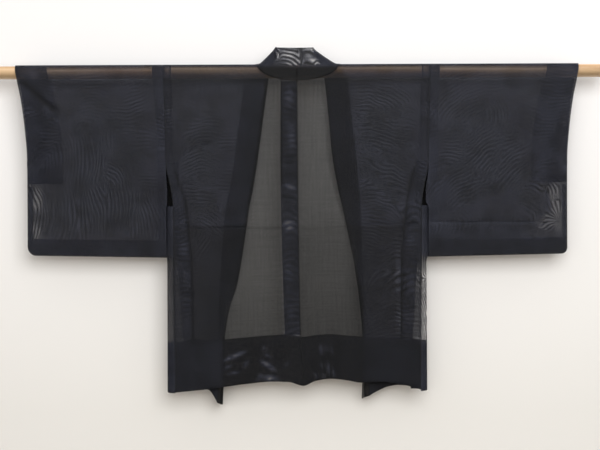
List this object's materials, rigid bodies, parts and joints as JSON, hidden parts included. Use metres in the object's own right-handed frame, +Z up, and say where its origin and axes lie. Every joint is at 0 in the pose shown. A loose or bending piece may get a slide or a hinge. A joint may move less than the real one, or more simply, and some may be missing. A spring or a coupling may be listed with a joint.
{
  "type": "haori jacket on a rod",
  "caption": "Short open-fronted kimono jacket of sheer black silk gauze, wide square sleeves, hung flat on a round wooden rod with its back to the viewer.",
  "frame": {"origin": "on the rod's axis, midway along it, where the rod is held", "axes": "+X along the rod towards the wearer's right sleeve, -Y out of the garment's back, +Y out of its open front, +Z up"},
  "size_m": [1.44, 0.0862, 0.8347],
  "materials": {
    "silk_gauze": "sheer matt gauze",
    "silk_cord": "soft silk",
    "rod_wood": "smooth, bare"
  },
  "bodies": {
    "root": {"rod": "rod_wood", "body_left": "silk_gauze", "body_right": "silk_gauze", "gusset_left": "silk_gauze", "gusset_right": "silk_gauze", "sleeve_left": "silk_gauze", "sleeve_right": "silk_gauze", "cuff_facing_left": "silk_gauze", "cuff_facing_right": "silk_gauze", "collar_left": "silk_gauze", "collar_right": "silk_gauze", "loop_left": "silk_cord", "loop_right": "silk_cord"}
  },
  "joints": []
}
